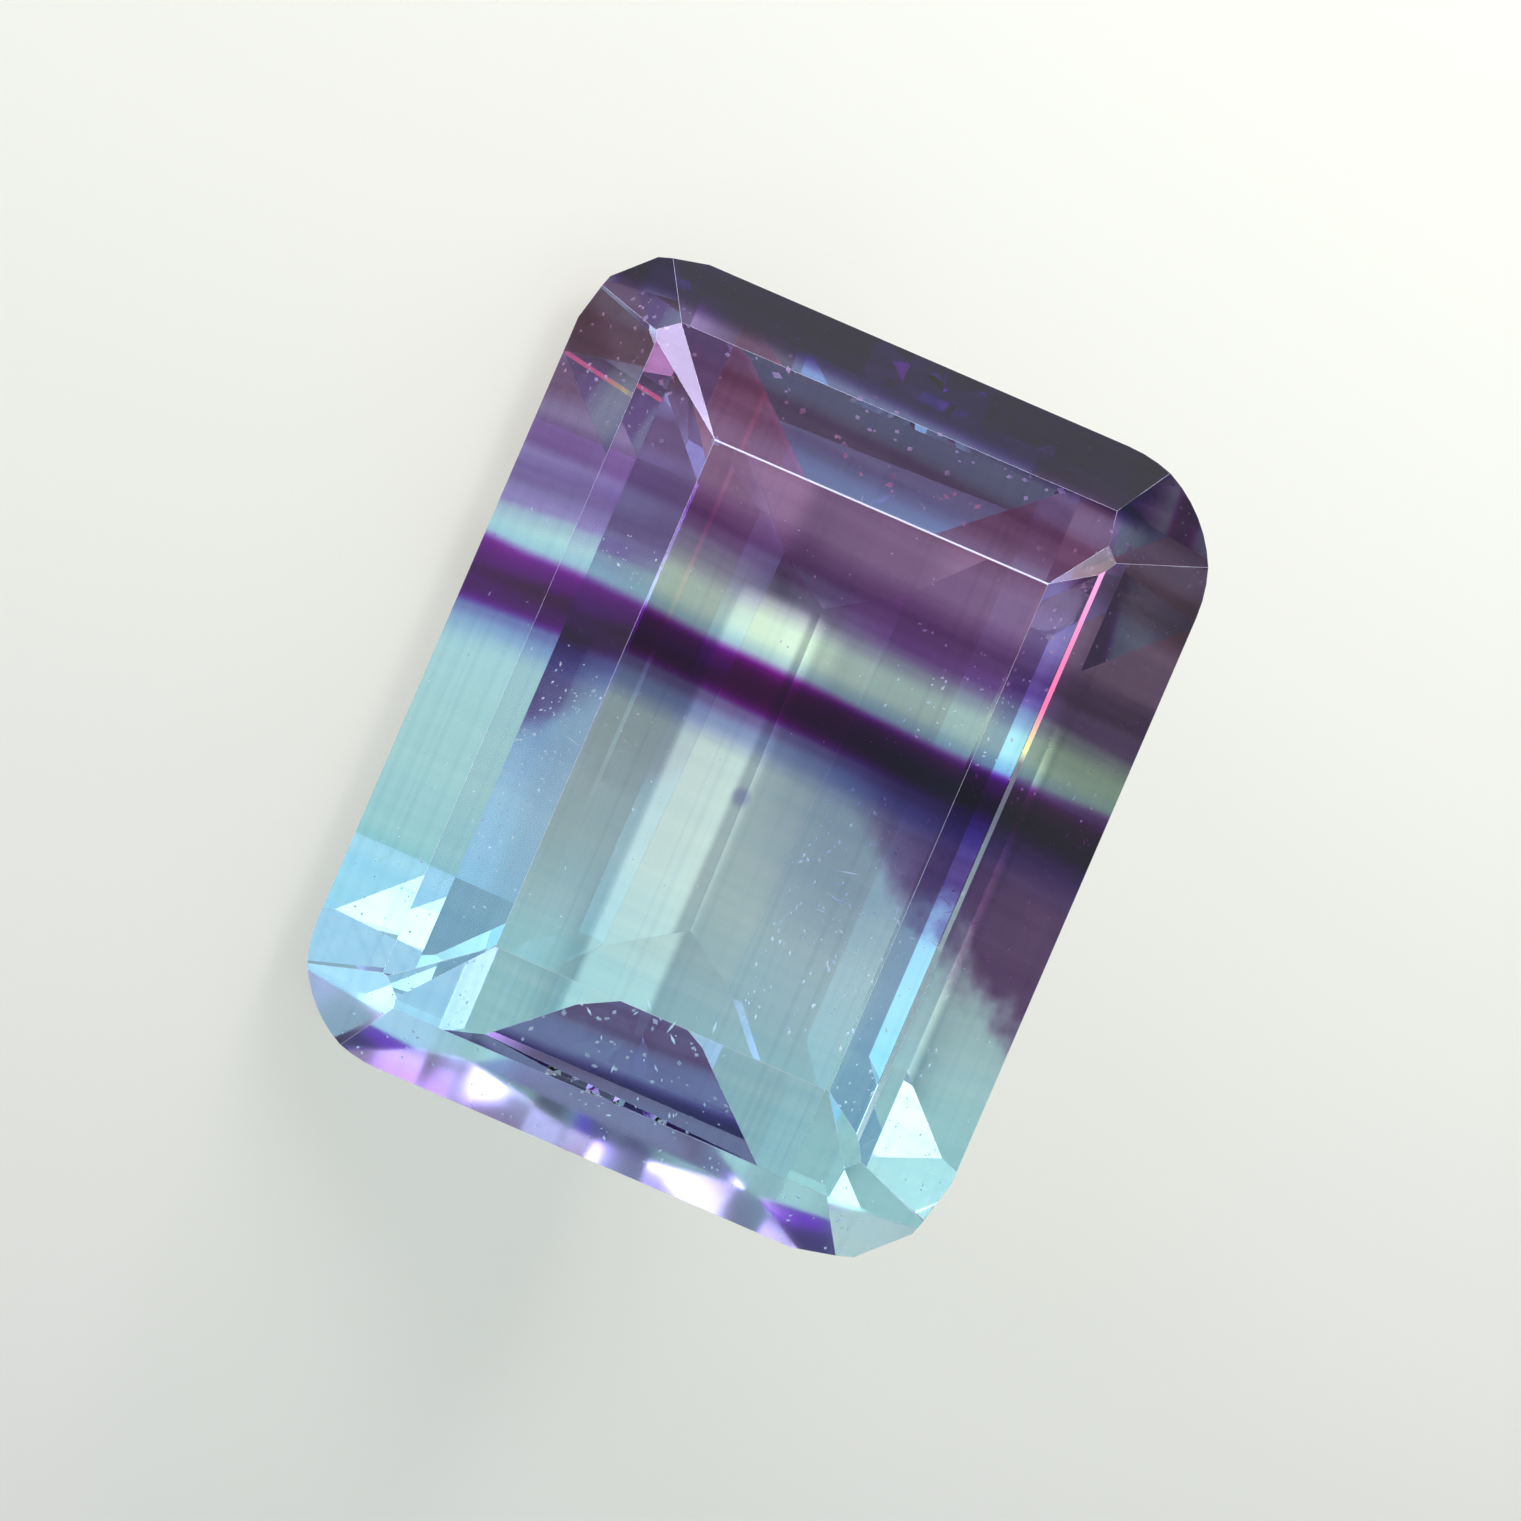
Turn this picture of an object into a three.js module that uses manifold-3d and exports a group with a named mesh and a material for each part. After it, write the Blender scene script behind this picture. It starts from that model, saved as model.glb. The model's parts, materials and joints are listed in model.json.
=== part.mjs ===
// A colour-banded gemstone, 10 x 7.9 mm, in a rectangular step cut with rounded corners. It lies on
// one of its long pavilion facets, as a loose stone comes to rest on a table.
//
// The stone is one crystal and one solid. It is made as a cutter makes it: a preform with the girdle's
// outline is ground down to one flat facet after another.
//
// The stone's own frame, used until the last step: x runs along its length, from the violet end to the
// blue end, y across its width, and z along the table's normal, with z = 0 at the girdle's lower edge.
// Millimetres and degrees.
import * as THREE from "three";
import { mergeVertices } from "three/addons/utils/BufferGeometryUtils.js";
import Module from "manifold-3d";

// Girdle
const LENGTH = 10.0;
const WIDTH = 7.9;
const GIRDLE_THICKNESS = 0.25;

// Each corner: the ends of x and y that it joins, the outline's radius, how many flats go round it,
// and the angle of its upper crown facet and how far that facet is turned from the diagonal. The
// corners differ, as they were finished by hand: two are smooth, and two were left with a few broad
// flats.
const CORNERS = [
  { x: 1, y: 1, radius: 1.4, flats: 3, upperAngle: 24, upperTurn: 0 },
  { x: -1, y: 1, radius: 1.5, flats: 12, upperAngle: 24, upperTurn: 0 },
  { x: -1, y: -1, radius: 1.15, flats: 3, upperAngle: 23, upperTurn: 8 },
  { x: 1, y: -1, radius: 1.3, flats: 12, upperAngle: 22.5, upperTurn: 0 },
];

// The four sides, each with how far its girdle, its table edge and the break between its two crown
// steps lie from the middle. The table sits a little towards +y.
const SIDES = [
  { azimuth: 0, girdle: LENGTH / 2, crownBreak: 4.21, table: 3.07 },
  { azimuth: 90, girdle: WIDTH / 2, crownBreak: 2.68, table: 2.155 },
  { azimuth: 180, girdle: LENGTH / 2, crownBreak: 4.18, table: 3.07 },
  { azimuth: 270, girdle: WIDTH / 2, crownBreak: 2.96, table: 1.88 },
];

// Crown: two steps on each side, and two facets on each corner, the upper one a narrow triangle.
const CROWN_HEIGHT = 1.4;
const CROWN_UPPER_ANGLE = 28;
const CROWN_LOWER_CORNER_ANGLE = 41;

// Pavilion, long sides: three steps down to the keel, each with how far its upper edge lies from the
// middle. The keel was cut a little askew, by turning its step.
const PAVILION_STEPS = [
  { reach: WIDTH / 2, angle: 50, turn: 0 },
  { reach: 2.25, angle: 43, turn: 0 },
  { reach: 0.8, angle: 28.5, turn: 1 },
];

// Pavilion, ends: two facets on each. The lower one meets the keel at keelReach from the middle.
const PAVILION_ENDS = [
  { azimuth: 0, turn: -1.5, upperAngle: 64, lowerAngle: 41, keelReach: 2.24 },
  { azimuth: 180, turn: 0, upperAngle: 62, lowerAngle: 41, keelReach: 2.0 },
];

// Pavilion, corners: one facet on each.
const PAVILION_CORNER_ANGLE = 56;

// The long pavilion facet that the stone lies on is the middle step of the side towards -y.
const RESTING_ANGLE = PAVILION_STEPS[1].angle;

const TABLE_Z = GIRDLE_THICKNESS + CROWN_HEIGHT;
const MERGE_DISTANCE = 1e-5;

const wasm = await Module();
wasm.setup();

function slope(angle) {
  return Math.tan(THREE.MathUtils.degToRad(angle));
}

function solidFrom(geometry) {
  geometry.deleteAttribute("normal");
  geometry.deleteAttribute("uv");
  const merged = mergeVertices(geometry, MERGE_DISTANCE);
  return new wasm.Manifold(
    new wasm.Mesh({
      numProp: 3,
      vertProperties: merged.attributes.position.array,
      triVerts: merged.index.array,
    }),
  );
}

function geometryFrom(solid) {
  const mesh = solid.getMesh();
  const shared = new THREE.BufferGeometry();
  shared.setAttribute("position", new THREE.BufferAttribute(mesh.vertProperties, 3));
  shared.setIndex(new THREE.BufferAttribute(mesh.triVerts, 1));
  const faceted = shared.toNonIndexed();
  faceted.computeVertexNormals();
  return faceted;
}

// The girdle's outline: straight sides, joined at each corner by flats whose ends lie on an arc.
function outline() {
  const points = [];
  for (const corner of CORNERS) {
    const centreX = corner.x * (LENGTH / 2 - corner.radius);
    const centreY = corner.y * (WIDTH / 2 - corner.radius);
    const diagonal = Math.atan2(corner.y, corner.x);
    for (let i = 0; i <= corner.flats; i++) {
      const turn = diagonal + (i / corner.flats - 0.5) * (Math.PI / 2);
      const x = centreX + corner.radius * Math.cos(turn);
      const y = centreY + corner.radius * Math.sin(turn);
      points.push(new THREE.Vector2(x, y));
    }
  }
  return new THREE.Shape(points);
}

function preform() {
  const height = 4 * WIDTH;
  const geometry = new THREE.ExtrudeGeometry(outline(), { depth: height, bevelEnabled: false });
  return solidFrom(geometry.translate(0, 0, -height / 2));
}

// Grinds one flat facet on the crown if `up` is 1, or on the pavilion if it is -1. Its plane passes
// through the point at `reach` from the middle in the direction of `azimuth`, at height z, and falls
// away outwards at `angle` from level. Everything beyond the plane goes.
function grind(stone, { azimuth, angle, reach, z, up }) {
  const turn = THREE.MathUtils.degToRad(azimuth);
  const lean = THREE.MathUtils.degToRad(angle);
  const outwards = new THREE.Vector3(Math.cos(turn), Math.sin(turn), 0);
  const normal = outwards.clone().multiplyScalar(Math.sin(lean)).setZ(up * Math.cos(lean));
  const size = 6 * LENGTH;
  const centre = outwards.multiplyScalar(reach).setZ(z).addScaledVector(normal, size / 2);
  const turned = new THREE.Quaternion().setFromUnitVectors(new THREE.Vector3(0, 0, 1), normal);
  const waste = new THREE.BoxGeometry(size, size, size).applyQuaternion(turned);
  return stone.subtract(solidFrom(waste.translate(...centre)));
}

// A corner's azimuth, and how far the middle of its arc reaches along it.
function cornerPlace(corner) {
  const azimuth = THREE.MathUtils.radToDeg(Math.atan2(corner.y, corner.x));
  const reach = (LENGTH / 2 + WIDTH / 2 - 2 * corner.radius) / Math.SQRT2 + corner.radius;
  return { azimuth, reach };
}

// An upper crown corner facet's azimuth, and how far the table's corner reaches along it.
function upperCornerPlace(corner) {
  const tableX = corner.x * SIDES.find((side) => side.azimuth === (corner.x > 0 ? 0 : 180)).table;
  const tableY = corner.y * SIDES.find((side) => side.azimuth === (corner.y > 0 ? 90 : 270)).table;
  const azimuth = cornerPlace(corner).azimuth + corner.upperTurn;
  const turn = THREE.MathUtils.degToRad(azimuth);
  return { azimuth, reach: tableX * Math.cos(turn) + tableY * Math.sin(turn) };
}

function crownFacets() {
  const facets = [{ azimuth: 0, angle: 0, reach: 0, z: TABLE_Z }];
  for (const { azimuth, girdle, crownBreak, table } of SIDES) {
    const breakZ = TABLE_Z - (crownBreak - table) * slope(CROWN_UPPER_ANGLE);
    const lower = Math.atan2(breakZ - GIRDLE_THICKNESS, girdle - crownBreak);
    facets.push({ azimuth, angle: CROWN_UPPER_ANGLE, reach: table, z: TABLE_Z });
    facets.push({ azimuth, angle: THREE.MathUtils.radToDeg(lower), reach: crownBreak, z: breakZ });
  }
  for (const corner of CORNERS) {
    const { azimuth, reach } = cornerPlace(corner);
    facets.push({ ...upperCornerPlace(corner), angle: corner.upperAngle, z: TABLE_Z });
    facets.push({ azimuth, angle: CROWN_LOWER_CORNER_ANGLE, reach, z: GIRDLE_THICKNESS });
  }
  return facets.map((facet) => ({ ...facet, up: 1 }));
}

function pavilionFacets() {
  const facets = [];
  let z = 0;
  PAVILION_STEPS.forEach(({ reach, angle, turn }, step) => {
    facets.push({ azimuth: 90 + turn, angle, reach, z });
    facets.push({ azimuth: 270 + turn, angle, reach, z });
    const innerReach = PAVILION_STEPS[step + 1]?.reach ?? 0;
    z -= (reach - innerReach) * slope(angle);
  });
  for (const { azimuth, turn, upperAngle, lowerAngle, keelReach } of PAVILION_ENDS) {
    facets.push({ azimuth: azimuth + turn, angle: upperAngle, reach: LENGTH / 2, z: 0 });
    facets.push({ azimuth, angle: lowerAngle, reach: keelReach, z });
  }
  for (const corner of CORNERS) {
    facets.push({ ...cornerPlace(corner), angle: PAVILION_CORNER_ANGLE, z: 0 });
  }
  return facets.map((facet) => ({ ...facet, up: -1 }));
}

function cutStone() {
  const solid = [...crownFacets(), ...pavilionFacets()].reduce(grind, preform());
  const crystal = new THREE.MeshStandardMaterial({
    color: 0x8a97bd,
    roughness: 0.03,
    metalness: 0,
    transparent: true,
    opacity: 0.6,
  });
  const stone = new THREE.Mesh(geometryFrom(solid), crystal);
  stone.name = "banded_gemstone";
  return stone;
}

// Lays the stone on its resting facet, with the origin under the middle of its bounding box.
function layDown(stone) {
  stone.rotation.x = THREE.MathUtils.degToRad(RESTING_ANGLE);
  const box = new THREE.Box3().setFromObject(stone, true);
  const middle = box.getCenter(new THREE.Vector3());
  stone.position.set(-middle.x, -middle.y, -box.min.z);
}

const stone = cutStone();
layDown(stone);

const part = new THREE.Group();
part.add(stone);

export default part;
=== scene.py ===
"""A colour-banded step-cut gemstone lying on one of its pavilion facets, seen square to its table."""

import itertools
import json
import math
import random

import bmesh
import bpy
from mathutils import Matrix, Vector
from mathutils.bvhtree import BVHTree


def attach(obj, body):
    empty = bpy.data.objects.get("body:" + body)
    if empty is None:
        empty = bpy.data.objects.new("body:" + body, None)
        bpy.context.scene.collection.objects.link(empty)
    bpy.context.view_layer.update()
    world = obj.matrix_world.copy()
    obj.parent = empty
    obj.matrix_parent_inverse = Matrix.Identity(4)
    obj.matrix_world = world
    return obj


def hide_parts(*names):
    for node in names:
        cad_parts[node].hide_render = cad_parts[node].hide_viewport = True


MM = 0.001
NODE = "banded_gemstone"
WHITE = (1, 1, 1)

# The stone's own frame: x runs from its violet end to its blue end, y across it and z along the table's
# normal. The origin is the middle of the girdle's lower edge. A place or size with MM in its name is in this
# frame, apart from the floor's.
TABLE_MIDDLE_MM = Vector((0.0, 0.1375, 1.65))
HALF_LENGTH_MM = 5.0

# Camera: square to the table, rolled so that the violet end points up and a little to the right.
VIOLET_END_FROM_UP = math.radians(23.4)
VIEW_WIDTH_MM = 17.6
LENS = 85
SENSOR = 36
CLIP_START = 0.001
CLIP_END = 10

IOR = 1.434

# Worn edges. All but the slightest are worn EDGE_WIDTH_MM wide. Two are bevelled more: the break between the
# two steps in the crown's side towards +y, which is clear but for a painted glint, and the table's edge at
# the violet end, which is worn more.
EDGE_WIDTH_MM = 0.021
LEAST_WORN_ANGLE = math.radians(9)
BREAK_WIDTH_MM = 0.034
BREAK_Y_MM = 2.68
BREAK_LEAST_Z_MM = 1.0
TABLE_END_WIDTH_MM = 0.01
TABLE_END_X_MM = -3.07
TABLE_LEAST_Z_MM = 1.6
SAME_LINE_MM = 0.02

# Corners of the CAD mesh nearer than this are one, and triangles flatter than this are one facet.
SAME_CORNER_MM = 0.0001
SAME_FACET = math.radians(0.3)

# Specks: where they lie (x and y ranges), how many, the biggest one's radius before SPECK_SIZE scales it, how
# much longer than wide they can be, and which way they lie, in degrees from x. Those that can be longer than
# LONG_STRETCH keep to that way within about LONG_SPREAD degrees, and the others hardly do. Specks lie only on
# facets whose normal's z is at least SPECK_LEAST_Z.
SPECK_SEED = 11
SPECK_DEPTH_MM = 0.012
SPECK_LEAST_Z = 0.3
LONG_STRETCH = 2
LONG_SPREAD = 25
SHORT_SPREAD = 90
ABOVE_STONE_MM = 3.0
SPECK_TONES_PER_MM = 3.0
SPECK_TONE_DETAIL = 2.0
# The specks glow faintly: a painted sparkle, though no lamp is there.
SPECK_PAINTED_SPARKLE = 0.3
SPECK_ROUGHNESS = 0.4
SPECK_SIZE = 1.35
SPECK_COLOURS = [(0.35, (0.62, 0.66, 0.78)), (0.65, (0.95, 0.97, 1.0))]
SPECKS = [
    ((-4.95, -3.3), (-3.3, 3.3), 80, 0.028, 1.8, 0),
    ((-4.95, -3.4), (-3.3, 3.3), 14, 0.042, 1.5, 0),
    ((-4.9, -3.2), (-3.9, -2.4), 45, 0.026, 1.8, 0),
    ((-4.9, -3.2), (2.4, 3.9), 45, 0.026, 1.8, 0),
    ((-3.9, -3.85), (2.85, 2.9), 1, 0.07, 1.4, 0),
    ((-3.1, -3.05), (-1.9, -1.84), 2, 0.05, 1.6, 90),
    ((-2.1, -0.6), (0.9, 2.7), 70, 0.015, 2.0, 90),
    ((-0.2, 2.7), (0.85, 2.15), 150, 0.016, 2.5, 20),
    ((0.6, 1.3), (1.2, 3.4), 14, 0.009, 18.0, 92),
    ((-3.4, 0.4), (2.2, 3.9), 110, 0.018, 2.0, 70),
    ((0.4, 4.4), (2.2, 3.9), 70, 0.018, 2.0, 70),
    ((-1.6, 3.9), (-3.9, -1.9), 90, 0.016, 2.0, 90),
    ((2.9, 4.15), (-0.9, 1.1), 22, 0.016, 6.0, 10),
    ((4.25, 4.95), (-3.2, 3.2), 60, 0.020, 2.5, 0),
    ((-3.0, 3.0), (-1.8, 1.0), 50, 0.012, 2.0, 0),
]

# The room: its walls, then each soft patch on them as its azimuth and elevation, how far it is even and where
# it ends, in degrees from its middle, and the colour that it adds. Azimuth 0 is towards -Y and 90 towards +X.
# Some patches are dim ones, which take light away. Past the floor's edge the camera sees plain walls.
WALLS = (0.38, 0.46, 0.55)
WALLS_SEEN = (0.66, 0.68, 0.68)
PATCHES = [
    (-75, 1, 9, 12, (12.0, 11.0, 18.0)),
    (-52, 29, 5, 10, (2.4, 1.8, 3.4)),
    (-48, 3, 6, 11, (8.5, 7.8, 7.5)),
    (-31, 4, 5, 10, (17.0, 15.0, 23.0)),
    (-91, 18, 4, 9, (11.5, 10.2, 12.5)),
    (-82, 46, 8, 18, (2.0, 1.9, 2.2)),
    (-42, 43, 8, 15, (1.25, 1.5, 1.4)),
    (-150, 50, 12, 22, (0.32, 0.32, 0.40)),
    (175, 26, 10, 25, (0.13, 0.25, 0.15)),
    (130, 65, 4, 9, (1.8, 2.0, 2.2)),
    (130, 51, 8, 14, (-0.12, -0.22, -0.34)),
    (12, 63, 8, 18, (0.30, 0.58, 0.72)),
    (-9, 25, 5, 10, (3.6, 3.2, 7.0)),
    (72, 26, 16, 34, (-0.14, -0.24, -0.29)),
    (2, 49, 6, 14, (-0.02, -0.04, 0.0)),
]

# The floor glows softly, like the top of a light table, and more towards -X, as far as GLOW_REACH_MM: a
# painted gradient of light, as if a lamp stood on that side. In a few places under and beside the stone the
# glow is
# painted lower or higher: a painted soft shadow round and behind the stone, painted light that lifts it again
# in two places under the stone, and a painted bright caustic line under it. Each is given by four edges in x
# and four in y, of which the middle two bound where the change is whole, and by the glow there. Places on the
# floor are in millimetres along the row's own X and Y.
FLOOR_SIZE = 4
FLOOR_DROP_MM = 0.02
FLOOR_COLOUR = (0.42, 0.41, 0.37)
FLOOR_ROUGHNESS = 0.8
FLOOR_GLOSS = 0.1
FLOOR_GLOW = (1.0, 1.0, 0.84)
GLOW_MIDDLE = 0.49
PAINTED_GRADIENT_PER_MM = -0.013
GLOW_REACH_MM = 14.0
PAINTED_SHADE_AND_LIGHT_PLACES = [
    # Painted shadow: a soft pool round and behind the stone, and two deeper patches towards +Y.
    ((-3.4, -0.4, 3.2, 5.0), (-2.6, -1.4, 5.5, 8.0), 0.27),
    ((-5.0, -3.4, -1.95, -1.7), (1.6, 2.1, 3.4, 4.4), 0.15),
    ((-5.0, -3.4, -0.6, 1.0), (2.95, 3.2, 4.0, 5.0), 0.17),
    # Painted light: a bright caustic line under the stone, and two patches under it where the painted shadow
    # is lifted.
    ((-1.98, -1.7, 3.4, 4.6), (1.40, 1.58, 2.70, 2.88), 0.66),
    ((-1.98, -1.7, -1.2, -0.6), (1.40, 1.58, 2.70, 2.88), 0.88),
    ((-5.0, -3.6, -2.2, -0.8), (-0.3, 0.1, 1.3, 1.7), 0.52),
    ((1.4, 3.2, 4.5, 4.9), (-0.9, -0.2, 0.9, 1.4), 0.47),
]

# The one lamp, a soft one: its direction as azimuth and elevation, then metres and watts.
KEY_AZIMUTH = -85
KEY_ELEVATION = 50
KEY_DISTANCE = 0.07
KEY_SIZE = 0.025
KEY_POWER = 0.008
KEY_COLOUR = (1, 0.97, 0.88)

# How many times a ray may turn in all and in the crystal, be mirrored, or pass straight through a clear
# surface.
CRYSTAL_BOUNCES = 24
GLOSSY_BOUNCES = 8
TRANSPARENT_BOUNCES = 16

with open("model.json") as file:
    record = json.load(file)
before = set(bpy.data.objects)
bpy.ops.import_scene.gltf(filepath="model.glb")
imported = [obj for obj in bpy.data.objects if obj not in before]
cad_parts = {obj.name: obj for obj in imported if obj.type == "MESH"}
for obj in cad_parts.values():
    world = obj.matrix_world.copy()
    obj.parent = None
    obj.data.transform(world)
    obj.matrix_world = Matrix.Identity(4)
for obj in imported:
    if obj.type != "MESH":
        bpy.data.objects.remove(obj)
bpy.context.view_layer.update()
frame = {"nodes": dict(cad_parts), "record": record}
record = frame["record"]


def stone_frame():
    """The matrix from the stone's own frame, in metres, to the row's."""
    table = next(m for m in record["mounts"] if m["name"] == "table_face")
    normal = Vector(table["axis"]).normalized()
    along = Vector((1, 0, 0))
    across = normal.cross(along)
    turn = Matrix((along, across, normal)).transposed()
    middle = Vector(table["pos_m"]) - turn @ (TABLE_MIDDLE_MM * MM)
    return Matrix.Translation(middle) @ turn.to_4x4()


STONE = stone_frame()


class Nodes:
    """A node tree, with short ways to add nodes to it."""

    def __init__(self, tree):
        self.nodes = tree.nodes
        self.links = tree.links

    def put(self, value, socket):
        """Sets a socket to a value, or links another node's socket to it."""
        if isinstance(value, bpy.types.NodeSocket):
            self.links.new(value, socket)
        else:
            socket.default_value = value

    def math(self, operation, *values):
        node = self.nodes.new("ShaderNodeMath")
        node.operation = operation
        for value, socket in zip(values, node.inputs):
            self.put(value, socket)
        return node.outputs[0]

    def vector(self, operation, *values, scale=None):
        node = self.nodes.new("ShaderNodeVectorMath")
        node.operation = operation
        for value, socket in zip(values, node.inputs):
            self.put(value, socket)
        if scale is not None:
            self.put(scale, node.inputs["Scale"])
        return node.outputs[0]

    def number(self, operation, first, second):
        """The number that a vector operation such as a distance gives."""
        node = self.nodes.new("ShaderNodeVectorMath")
        node.operation = operation
        self.put(first, node.inputs[0])
        self.put(second, node.inputs[1])
        return node.outputs["Value"]

    def coordinates(self, kind):
        return self.nodes.new("ShaderNodeTexCoord").outputs[kind]

    def ramp(self, position, stops):
        """stops are (position, colour), with the position from 0 to 1."""
        node = self.nodes.new("ShaderNodeValToRGB")
        node.color_ramp.interpolation = "EASE"
        elements = node.color_ramp.elements
        elements.remove(elements[1])
        for i, (at, colour) in enumerate(stops):
            element = elements[0] if i == 0 else elements.new(at)
            element.position = at
            element.color = (*colour, 1)
        self.put(position, node.inputs["Fac"])
        return node.outputs["Color"]

    def stone_place(self):
        """The shaded point in the stone's own frame, in millimetres."""
        mapping = self.nodes.new("ShaderNodeMapping")
        mapping.vector_type = "TEXTURE"
        mapping.inputs["Location"].default_value = STONE.translation
        mapping.inputs["Rotation"].default_value = STONE.to_euler()
        mapping.inputs["Scale"].default_value = (MM, MM, MM)
        self.links.new(self.coordinates("Object"), mapping.inputs["Vector"])
        return mapping.outputs["Vector"]

    def apart(self, vector):
        node = self.nodes.new("ShaderNodeSeparateXYZ")
        self.links.new(vector, node.inputs[0])
        return node.outputs

    def noise(self, place, per_mm, detail):
        """Smooth noise in space, from 0 to 1."""
        node = self.nodes.new("ShaderNodeTexNoise")
        node.inputs["Scale"].default_value = per_mm
        node.inputs["Detail"].default_value = detail
        self.links.new(place, node.inputs["Vector"])
        return node.outputs[0]

    def line_noise(self, value, per_mm, detail):
        """Noise in layers, from 0 to 1, that changes only as value does."""
        node = self.nodes.new("ShaderNodeTexNoise")
        node.noise_dimensions = "1D"
        node.inputs["Scale"].default_value = per_mm
        node.inputs["Detail"].default_value = detail
        self.links.new(value, node.inputs["W"])
        return node.outputs[0]

    def more(self, absorbed, extra, amount):
        """absorbed with the given amount of an extra absorption, per millimetre, added to it."""
        return self.vector("MULTIPLY_ADD", share(extra), amount, absorbed)

    def window(self, value, edges):
        """1 between the middle two edges and 0 beyond the outer ones."""
        rise = self.between(value, edges[0], edges[1])
        fall = self.between(value, edges[3], edges[2])
        return self.math("MULTIPLY", rise, fall)

    def inside(self, value, edges):
        """1 between the two edges and 0 beyond them."""
        over = self.math("GREATER_THAN", value, edges[0])
        return self.math("MULTIPLY", over, self.math("LESS_THAN", value, edges[1]))

    def round_patch(self, x, y, middle, reach):
        """1 within the first reach of middle, seen along the table's normal, and 0 beyond the second."""
        flat = self.nodes.new("ShaderNodeCombineXYZ")
        self.links.new(x, flat.inputs[0])
        self.links.new(y, flat.inputs[1])
        away = self.number("DISTANCE", flat.outputs[0], middle)
        return self.between(away, reach[1], reach[0])

    def mix(self, factor, first, second):
        node = self.nodes.new("ShaderNodeMix")
        node.data_type = "RGBA"
        self.put(factor, node.inputs["Factor"])
        self.put(first, node.inputs[6])
        self.put(second, node.inputs[7])
        return node.outputs[2]

    def between(self, value, low, high):
        """0 below low, 1 above high, and smooth between them."""
        node = self.nodes.new("ShaderNodeMapRange")
        node.interpolation_type = "SMOOTHSTEP"
        self.put(value, node.inputs["Value"])
        self.put(low, node.inputs["From Min"])
        self.put(high, node.inputs["From Max"])
        return node.outputs["Result"]


class Shader(Nodes):
    """A new material's node tree."""

    def __init__(self, name):
        self.material = bpy.data.materials.new(name)
        self.material.use_nodes = True
        super().__init__(self.material.node_tree)
        self.principled = self.nodes["Principled BSDF"]
        self.output = self.nodes["Material Output"]


# What each growth zone takes from red, green and blue light, per millimetre.
MID_VIOLET = (0.29, 0.50, 0.36)
VIOLET = (0.23, 0.32, 0.19)
MAUVE = (0.16, 0.27, 0.15)
PURPLE = (0.33, 0.52, 0.30)
LILAC = (0.22, 0.27, 0.16)
PALE_LILAC = (0.16, 0.16, 0.11)
COLOURLESS = (0.045, 0.0, 0.03)
TEAL = (0.16, 0.09, 0.06)
PLUM = (0.51, 1.45, 0.50)
BLUE_VIOLET = (0.29, 0.34, 0.17)
LAVENDER = (0.21, 0.165, 0.06)
MINT = (0.055, 0.013, 0.012)
BLUE = (0.08, 0.022, 0.012)
DEEP_BLUE = (0.12, 0.020, 0.006)

# Where each zone lies along the stone, from the violet end.
ZONES_MM = [
    (-5.0, VIOLET),
    (-3.95, VIOLET),
    (-3.7, MID_VIOLET),
    (-3.45, MID_VIOLET),
    (-3.15, MAUVE),
    (-2.56, MAUVE),
    (-2.3, PURPLE),
    (-2.2, PURPLE),
    (-2.02, LILAC),
    (-1.74, PALE_LILAC),
    (-1.52, COLOURLESS),
    (-1.3, COLOURLESS),
    (-1.08, TEAL),
    (-0.84, PLUM),
    (-0.62, PLUM),
    (-0.42, BLUE_VIOLET),
    (-0.2, LAVENDER),
    (0.12, MINT),
    (1.6, MINT),
    (2.3, BLUE),
    (3.2, DEEP_BLUE),
    (5.0, DEEP_BLUE),
]
ZONE_SLOPE = 0.047
MOST_ABSORBED = 1.6

# The zones slant and waver a little. Each is made of finer growth layers, with soft clouds across them.
WAVER_MM = 0.07
WAVERS_PER_MM = 0.5
WAVER_DETAIL = 1.0
LAYERS_PER_MM = 5.0
LAYER_DETAIL = 4.0
LAYER_CONTRAST = 0.35
LAYER_HAZE = (0.030, 0.028, 0.016)
LAYER_HAZE_FROM = 0.4
CLOUDS_PER_MM = 0.9
CLOUD_DETAIL = 3.0
CLOUD_CONTRAST = 0.3

# A violet veil fills the corner between the plum zone and one long side. It starts in the plum zone and ends
# at a slanting, billowing front, and it thickens from VEIL_THIN_MM across the stone to VEIL_THICK_MM. A
# fainter smoke lies round SMOKE_MIDDLE_MM. Both are only near the top.
VEIL = (0.40, 0.70, 0.44)
VEIL_START_MM = (-0.9, -0.5)
VEIL_FRONT_MM = -1.0
VEIL_SLOPE = 0.555
VEIL_FADE_MM = 0.75
VEIL_BILLOWS_PER_MM = 1.6
VEIL_BILLOW_DETAIL = 3.0
VEIL_BILLOW_MM = 0.7
VEIL_THIN_MM = 0.3
VEIL_THICK_MM = 2.9
NEAR_TOP_MM = (-1.8, -0.3)
SMOKE = (0.16, 0.15, 0.09)
SMOKE_MIDDLE_MM = (0.3, 1.6, 0.0)
SMOKE_REACH_MM = (0.5, 1.9)

# The crystal is dusky along the veil's side, from the mint zone to the violet end.
DUSK = (0.29, 0.28, 0.31)
DUSK_ZONE_MM = (-0.9, -1.6)
DUSK_Y_MM = (2.45, 3.05)

# On the veil's side the purple zone has a second layer, which thins out towards the other side.
WEDGE = (0.05, 0.19, 0.05)
WEDGE_ZONE_MM = (-2.15, -2.0, -1.9, -1.75)
WEDGE_Y_MM = (-0.4, 1.2)

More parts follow.
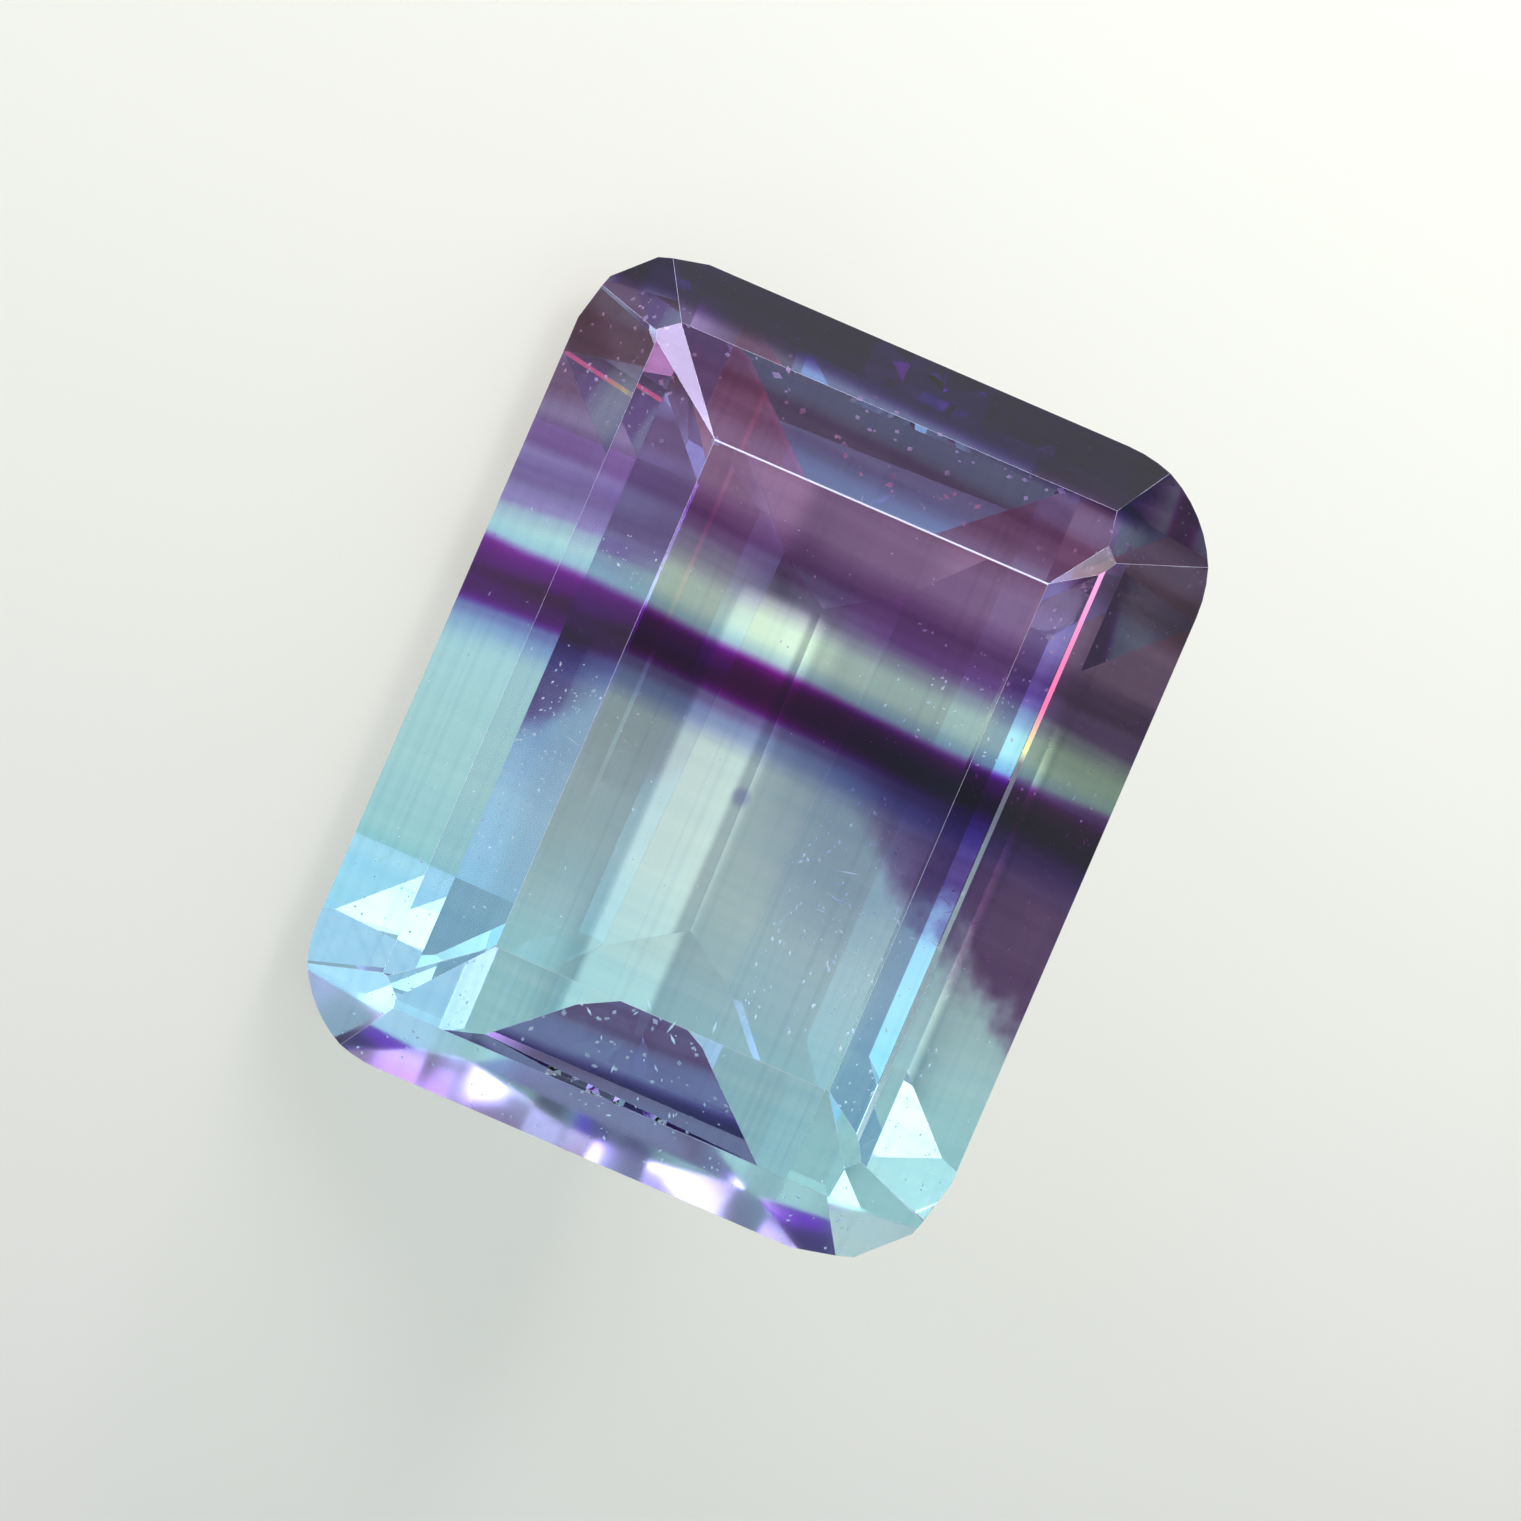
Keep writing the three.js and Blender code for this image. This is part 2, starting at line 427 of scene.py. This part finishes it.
# The crown is darkest at the very tip of the violet end, but not in the corner on the veil's side.
TIP = (0.70, 0.92, 0.52)
TIP_ZONE_MM = (-4.15, -4.45)
TIP_Z_MM = (-0.1, 0.25)
TIP_Y_MM = (3.3, 2.6)

# A small violet spot in the middle of the table
SPOT = (0.09, 0.11, 0.045)
SPOT_MIDDLE_MM = (0.48, -0.04, 0.0)
SPOT_REACH_MM = (0.05, 0.15)

# Fine lines that the polishing left along the stone below its table, and how much they dim it.
LINES_PER_MM = 9.0
LINE_DETAIL = 3.0
LINE_NOISE = (0.45, 0.8)
LINE_DEPTH = (0.035, 0.03, 0.02)
LINE_Z_MM = (1.6, 1.5)

# The crown's lowest facet at the blue end is less well polished than the rest.
RIM_X_MM = 4.21
RIM_Z_MM = 0.24
RIM_ROUGHNESS = 0.17

# The zones' colour is on the facets, as much as a ray takes up that goes this far. The body has a faint even
# one.
STRAIGHT_PATH_MM = 5.0
BODY_COLOUR = (0.55, 0.85, 0.95)
BODY_PER_MM = 0.02

# The worn edges: a pale frosted line. On part of the break in the crown's +y side lies a painted glint, a
# pink line that glows as if it caught a lamp. The rest of that break is clear.
WORN_COLOUR = (0.84, 0.82, 0.90)
WORN_ROUGHNESS = 0.45
WORN_CLEARNESS = 0.28
PAINTED_GLINT_GLOW = 0.5
PAINTED_GLINT_X_MM = (-3.6, -3.45, -1.3, -1.1)
PAINTED_GLINT_BREAK_Y_MM = (2.6, 2.76)
PAINTED_GLINT_COLOURS = [(0.0, (1.0, 0.35, 0.62)), (0.7, (1.0, 0.16, 0.34)), (1.0, (0.80, 0.95, 0.30))]


def along_ramp(x_mm):
    return (x_mm + HALF_LENGTH_MM) / (2 * HALF_LENGTH_MM)


def share(absorbed):
    return tuple(value / MOST_ABSORBED for value in absorbed)


def zone_place(shader, place):
    """How far along the stone's zones the shaded point lies, in millimetres."""
    x, y, _ = shader.apart(place)
    waver = shader.math("SUBTRACT", shader.noise(place, WAVERS_PER_MM, WAVER_DETAIL), 0.5)
    slanted = shader.math("MULTIPLY_ADD", y, -ZONE_SLOPE, x)
    return shader.math("MULTIPLY_ADD", waver, 2 * WAVER_MM, slanted)


def growth_zones(shader, place, zone):
    """What the zones absorb, as shares of MOST_ABSORBED, with those that don't cross the whole stone."""
    _, y, z = shader.apart(place)
    position = shader.math("MULTIPLY_ADD", zone, 0.5 / HALF_LENGTH_MM, 0.5)
    absorbed = shader.ramp(position, [(along_ramp(at), share(rgb)) for at, rgb in ZONES_MM])
    wedge = shader.math("MULTIPLY", shader.window(zone, WEDGE_ZONE_MM), shader.between(y, *WEDGE_Y_MM))
    absorbed = shader.more(absorbed, WEDGE, wedge)
    dusk = shader.math("MULTIPLY", shader.between(zone, *DUSK_ZONE_MM), shader.between(y, *DUSK_Y_MM))
    absorbed = shader.more(absorbed, DUSK, dusk)
    tip = shader.math("MULTIPLY", shader.between(zone, *TIP_ZONE_MM), shader.between(z, *TIP_Z_MM))
    tip = shader.math("MULTIPLY", tip, shader.between(y, *TIP_Y_MM))
    return shader.more(absorbed, TIP, tip)


def with_veil(shader, absorbed, place, zone):
    """absorbed, with the violet veil's and the smoke's share."""
    x, y, z = shader.apart(place)
    near_top = shader.between(z, *NEAR_TOP_MM)
    billow = shader.noise(place, VEIL_BILLOWS_PER_MM, VEIL_BILLOW_DETAIL)
    billow = shader.math("SUBTRACT", billow, 0.5)
    front = shader.math("MULTIPLY_ADD", y, -VEIL_SLOPE, zone)
    front = shader.math("MULTIPLY_ADD", billow, 2 * VEIL_BILLOW_MM, front)
    behind = shader.between(front, VEIL_FRONT_MM + VEIL_FADE_MM, VEIL_FRONT_MM)
    across = shader.between(y, VEIL_THIN_MM, VEIL_THICK_MM)
    veil = shader.math("MULTIPLY", behind, shader.between(zone, *VEIL_START_MM))
    veil = shader.math("MULTIPLY", veil, across)
    absorbed = shader.more(absorbed, VEIL, shader.math("MULTIPLY", veil, near_top))
    smoke = shader.round_patch(x, y, SMOKE_MIDDLE_MM, SMOKE_REACH_MM)
    return shader.more(absorbed, SMOKE, shader.math("MULTIPLY", smoke, near_top))


def with_layers(shader, absorbed, place, zone):
    """absorbed, made uneven by the finer layers and the clouds."""
    layers = shader.line_noise(zone, LAYERS_PER_MM, LAYER_DETAIL)
    clouds = shader.noise(place, CLOUDS_PER_MM, CLOUD_DETAIL)
    layered = shader.math("MULTIPLY_ADD", layers, LAYER_CONTRAST, 1 - LAYER_CONTRAST / 2)
    cloudy = shader.math("MULTIPLY_ADD", clouds, CLOUD_CONTRAST, 1 - CLOUD_CONTRAST / 2)
    absorbed = shader.vector("SCALE", absorbed, scale=shader.math("MULTIPLY", layered, cloudy))
    return shader.more(absorbed, LAYER_HAZE, shader.math("SUBTRACT", layers, LAYER_HAZE_FROM))


def with_marks(shader, absorbed, place):
    """absorbed, with the polishing lines and the violet spot."""
    x, y, z = shader.apart(place)
    lines = shader.between(shader.line_noise(y, LINES_PER_MM, LINE_DETAIL), *LINE_NOISE)
    lines = shader.math("MULTIPLY", lines, shader.between(z, *LINE_Z_MM))
    absorbed = shader.more(absorbed, LINE_DEPTH, lines)
    return shader.more(absorbed, SPOT, shader.round_patch(x, y, SPOT_MIDDLE_MM, SPOT_REACH_MM))


def crystal_shader(name):
    """A shader with the crystal's IOR and its body's faint even colour."""
    shader = Shader(name)
    shader.principled.inputs["IOR"].default_value = IOR
    body = shader.nodes.new("ShaderNodeVolumeAbsorption")
    body.inputs["Color"].default_value = (*BODY_COLOUR, 1)
    body.inputs["Density"].default_value = BODY_PER_MM / MM
    shader.links.new(body.outputs[0], shader.output.inputs["Volume"])
    return shader


def banded_crystal():
    """The polished crystal. A facet lets through what is left after the straight path."""
    shader = crystal_shader("banded_crystal")
    glass = shader.principled
    place = shader.stone_place()
    zone = zone_place(shader, place)
    absorbed = growth_zones(shader, place, zone)
    absorbed = with_veil(shader, absorbed, place, zone)
    absorbed = with_layers(shader, absorbed, place, zone)
    absorbed = with_marks(shader, absorbed, place)
    passed = shader.vector("MINIMUM", shader.vector("SUBTRACT", WHITE, absorbed), WHITE)
    tint = shader.nodes.new("ShaderNodeGamma")
    tint.inputs["Gamma"].default_value = MOST_ABSORBED * STRAIGHT_PATH_MM
    shader.links.new(passed, tint.inputs["Color"])
    shader.links.new(tint.outputs[0], glass.inputs["Base Color"])

    x, _, z = shader.apart(place)
    rim = shader.math("GREATER_THAN", x, RIM_X_MM)
    rim = shader.math("MULTIPLY", rim, shader.math("GREATER_THAN", z, RIM_Z_MM))
    shader.links.new(shader.math("MULTIPLY", rim, RIM_ROUGHNESS), glass.inputs["Roughness"])
    glass.inputs["Transmission Weight"].default_value = 1
    return shader.material


def worn_edge_and_painted_glint():
    """The crystal where an edge is worn to a pale frost, or carries the painted glint, a glowing pink line.
    """
    shader = crystal_shader("worn_edge_and_painted_glint")
    glass = shader.principled
    x, y, _ = shader.apart(shader.stone_place())
    on_break = shader.inside(y, PAINTED_GLINT_BREAK_Y_MM)
    painted_glint = shader.math("MULTIPLY", shader.window(x, PAINTED_GLINT_X_MM), on_break)
    unworn = shader.math("SUBTRACT", on_break, painted_glint)
    clear = shader.math("MULTIPLY_ADD", unworn, 1 - WORN_CLEARNESS, WORN_CLEARNESS)
    start, end = PAINTED_GLINT_X_MM[0], PAINTED_GLINT_X_MM[-1]
    along = shader.math("DIVIDE", shader.math("SUBTRACT", x, start), end - start)
    glint = shader.ramp(along, PAINTED_GLINT_COLOURS)
    colour = shader.mix(painted_glint, (*WORN_COLOUR, 1), glint)
    # The painted glint glows, though no lamp is there.
    glow = shader.math("MULTIPLY", painted_glint, PAINTED_GLINT_GLOW)
    glass.inputs["Roughness"].default_value = WORN_ROUGHNESS
    shader.links.new(clear, glass.inputs["Transmission Weight"])
    shader.links.new(colour, glass.inputs["Base Color"])
    shader.links.new(glint, glass.inputs["Emission Color"])
    shader.links.new(glow, glass.inputs["Emission Strength"])
    return shader.material


def faceted_mesh():
    """The CAD stone's mesh: each facet one face of material 0, its worn edges and painted-glint break
    material 1.
    """
    mesh = bmesh.new()
    mesh.from_mesh(frame["nodes"][NODE].data)
    bmesh.ops.remove_doubles(mesh, verts=mesh.verts, dist=SAME_CORNER_MM * MM)
    bmesh.ops.dissolve_limit(mesh, angle_limit=SAME_FACET, verts=mesh.verts, edges=mesh.edges)
    for face in mesh.faces:
        face.material_index = 0
    bevel(mesh, is_break, BREAK_WIDTH_MM)
    bevel(mesh, is_table_end, TABLE_END_WIDTH_MM)
    bevel(mesh, is_worn, EDGE_WIDTH_MM)
    return mesh


def bevel(mesh, chosen, width_mm):
    """Bevels the edges that chosen picks, with the new faces as material 1."""
    done = bmesh.ops.bevel(
        mesh,
        geom=[edge for edge in mesh.edges if chosen(edge)],
        offset=width_mm * MM,
        segments=1,
        affect="EDGES",
        clamp_overlap=True,
    )
    for face in done["faces"]:
        face.material_index = 1


def is_worn(edge):
    """Whether two facets meet in an edge sharply enough for it to wear. Those in a rounded corner don't."""
    return edge.calc_face_angle(0) > LEAST_WORN_ANGLE


def ends_mm(edge):
    return [STONE.inverted() @ vertex.co / MM for vertex in edge.verts]


def is_break(edge):
    """Whether an edge is the break between the two steps in the crown's side towards +y."""
    ends = ends_mm(edge)
    return all(abs(end.y - BREAK_Y_MM) < SAME_LINE_MM and end.z > BREAK_LEAST_Z_MM for end in ends)


def is_table_end(edge):
    """Whether an edge is the table's at the violet end."""
    ends = ends_mm(edge)
    return all(abs(end.x - TABLE_END_X_MM) < SAME_LINE_MM and end.z > TABLE_LEAST_Z_MM for end in ends)


def make_stone():
    """The crystal with flat facets: the normals that came with the CAD mesh no longer fit, so they go."""
    shape = faceted_mesh()
    mesh = bpy.data.meshes.new("stone")
    shape.to_mesh(mesh)
    shape.free()
    for name in ("custom_normal", "sharp_edge", "sharp_face"):
        if name in mesh.attributes:
            mesh.attributes.remove(mesh.attributes[name])
    mesh.shade_flat()
    stone = bpy.data.objects.new("stone", mesh)
    bpy.context.scene.collection.objects.link(stone)
    mesh.materials.append(banded_crystal())
    mesh.materials.append(worn_edge_and_painted_glint())
    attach(stone, "root")
    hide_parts(NODE)


def speck_material_with_painted_sparkle():
    shader = Shader("speck")
    tone = shader.noise(shader.stone_place(), SPECK_TONES_PER_MM, SPECK_TONE_DETAIL)
    colour = shader.ramp(tone, SPECK_COLOURS)
    shader.links.new(colour, shader.principled.inputs["Base Color"])
    shader.links.new(colour, shader.principled.inputs["Emission Color"])
    # A faint glow on the specks: painted sparkle.
    shader.principled.inputs["Emission Strength"].default_value = SPECK_PAINTED_SPARKLE
    shader.principled.inputs["Roughness"].default_value = SPECK_ROUGHNESS
    return shader.material


def stone_surface():
    """The stone's surface in its own frame, to cast rays at."""
    crystal = frame["nodes"][NODE]
    to_stone = STONE.inverted() @ crystal.matrix_world
    corners = [to_stone @ vertex.co / MM for vertex in crystal.data.vertices]
    return BVHTree.FromPolygons(corners, [tuple(face.vertices) for face in crystal.data.polygons])


def add_speck(mesh, chance, place, normal, size, long, turn):
    """Adds an uneven double pyramid just under the surface at place, with its long axis turned from x."""
    along = Vector((math.cos(turn), math.sin(turn), 0))
    along = (along - normal * along.dot(normal)).normalized()
    side = normal.cross(along)
    middle = place - normal * (size + SPECK_DEPTH_MM)
    tips = []
    for axis, reach in ((along, long), (side, size), (normal, size)):
        tips.append(middle + axis * reach * chance.uniform(0.7, 1.0))
        tips.append(middle - axis * reach * chance.uniform(0.7, 1.0))
    verts = [mesh.verts.new(STONE @ (tip * MM)) for tip in tips]
    for corners in itertools.product(verts[0:2], verts[2:4], verts[4:6]):
        mesh.faces.new(corners)


def make_specks():
    """Specks, pits and short scratches in the crystal, just under its polished top, which glow faintly as
    painted sparkle.
    """
    chance = random.Random(SPECK_SEED)
    surface = stone_surface()
    mesh = bmesh.new()
    for x_range, y_range, count, biggest, stretch, heading in SPECKS:
        spread = LONG_SPREAD if stretch > LONG_STRETCH else SHORT_SPREAD
        for _ in range(count):
            above = Vector((chance.uniform(*x_range), chance.uniform(*y_range), ABOVE_STONE_MM))
            size = SPECK_SIZE * biggest * chance.uniform(0.4, 1.0)
            long = size * chance.uniform(1.0, stretch)
            turn = math.radians(heading + chance.gauss(0, spread))
            place, normal, _, _ = surface.ray_cast(above, Vector((0, 0, -1)))
            if place is not None and normal.z >= SPECK_LEAST_Z:
                add_speck(mesh, chance, place, normal, size, long, turn)
    bmesh.ops.recalc_face_normals(mesh, faces=mesh.faces)
    data = bpy.data.meshes.new("specks")
    mesh.to_mesh(data)
    mesh.free()
    data.materials.append(speck_material_with_painted_sparkle())
    specks = bpy.data.objects.new("specks", data)
    bpy.context.scene.collection.objects.link(specks)
    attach(specks, "root")


def floor_glow_and_painted_light(shader):
    """How strongly the floor glows at the shaded point, with its painted gradient of light, painted shadow
    and painted caustic light.
    """
    place = shader.vector("SCALE", shader.coordinates("Object"), scale=1 / MM)
    x, y, _ = shader.apart(place)
    # The painted gradient of light, then the painted shadow and light, place by place.
    near = shader.math("MAXIMUM", shader.math("MINIMUM", x, GLOW_REACH_MM), -GLOW_REACH_MM)
    glow = shader.math("MULTIPLY_ADD", near, PAINTED_GRADIENT_PER_MM, GLOW_MIDDLE)
    for x_edges, y_edges, level in PAINTED_SHADE_AND_LIGHT_PLACES:
        there = shader.math("MULTIPLY", shader.window(x, x_edges), shader.window(y, y_edges))
        change = shader.math("SUBTRACT", level, glow)
        glow = shader.math("MULTIPLY_ADD", there, change, glow)
    return glow


def make_floor():
    bpy.ops.mesh.primitive_plane_add(size=FLOOR_SIZE, location=(0, 0, -FLOOR_DROP_MM * MM))
    floor = bpy.context.object
    floor.name = "floor"
    shader = Shader("floor")
    surface = shader.principled
    surface.inputs["Base Color"].default_value = (*FLOOR_COLOUR, 1)
    surface.inputs["Roughness"].default_value = FLOOR_ROUGHNESS
    surface.inputs["Specular IOR Level"].default_value = FLOOR_GLOSS
    surface.inputs["Emission Color"].default_value = (*FLOOR_GLOW, 1)
    shader.links.new(floor_glow_and_painted_light(shader), surface.inputs["Emission Strength"])
    floor.data.materials.append(shader.material)


def make_camera():
    data = bpy.data.cameras.new("camera")
    data.lens = LENS
    data.sensor_width = SENSOR
    data.clip_start = CLIP_START
    data.clip_end = CLIP_END
    camera = bpy.data.objects.new("camera", data)
    bpy.context.scene.collection.objects.link(camera)
    along, across, normal = STONE.to_3x3().col
    up = -along * math.cos(VIOLET_END_FROM_UP) - across * math.sin(VIOLET_END_FROM_UP)
    right = up.cross(normal)
    distance = VIEW_WIDTH_MM * MM * LENS / SENSOR
    place = STONE.translation + normal * distance
    turn = Matrix((right, up, normal)).transposed()
    camera.matrix_world = Matrix.Translation(place) @ turn.to_4x4()
    bpy.context.scene.camera = camera


def direction(azimuth, elevation):
    """The way to a light, with azimuth 0 towards -Y and 90 towards +X, in degrees."""
    turn, lift = math.radians(azimuth), math.radians(elevation)
    return Vector(
        (
            math.sin(turn) * math.cos(lift),
            -math.cos(turn) * math.cos(lift),
            math.sin(lift),
        )
    )


def make_key_light():
    data = bpy.data.lights.new("key", "AREA")
    data.size = KEY_SIZE
    data.energy = KEY_POWER
    data.color = KEY_COLOUR
    light = bpy.data.objects.new("key", data)
    bpy.context.scene.collection.objects.link(light)
    way = direction(KEY_AZIMUTH, KEY_ELEVATION)
    light.location = way * KEY_DISTANCE
    light.rotation_euler = way.to_track_quat("Z", "Y").to_euler()


def make_room():
    """The walls with their patches, as the crystal and the floor see them. The camera sees plain ones."""
    world = bpy.data.worlds.new("studio")
    bpy.context.scene.world = world
    world.use_nodes = True
    tree = Nodes(world.node_tree)
    way = tree.coordinates("Generated")
    room = WALLS
    for azimuth, elevation, even, end, colour in PATCHES:
        facing = tree.number("DOT_PRODUCT", way, direction(azimuth, elevation))
        lit = tree.between(facing, math.cos(math.radians(end)), math.cos(math.radians(even)))
        room = tree.vector("MULTIPLY_ADD", lit, colour, room)
    to_camera = tree.nodes.new("ShaderNodeLightPath").outputs["Is Camera Ray"]
    seen = tree.mix(to_camera, room, (*WALLS_SEEN, 1))
    tree.links.new(seen, tree.nodes["Background"].inputs["Color"])


def set_render():
    scene = bpy.context.scene
    scene.view_settings.view_transform = "Standard"
    scene.cycles.max_bounces = CRYSTAL_BOUNCES
    scene.cycles.transmission_bounces = CRYSTAL_BOUNCES
    scene.cycles.glossy_bounces = GLOSSY_BOUNCES
    scene.cycles.transparent_max_bounces = TRANSPARENT_BOUNCES


make_camera()
make_stone()
make_specks()
make_floor()
make_room()
make_key_light()
set_render()
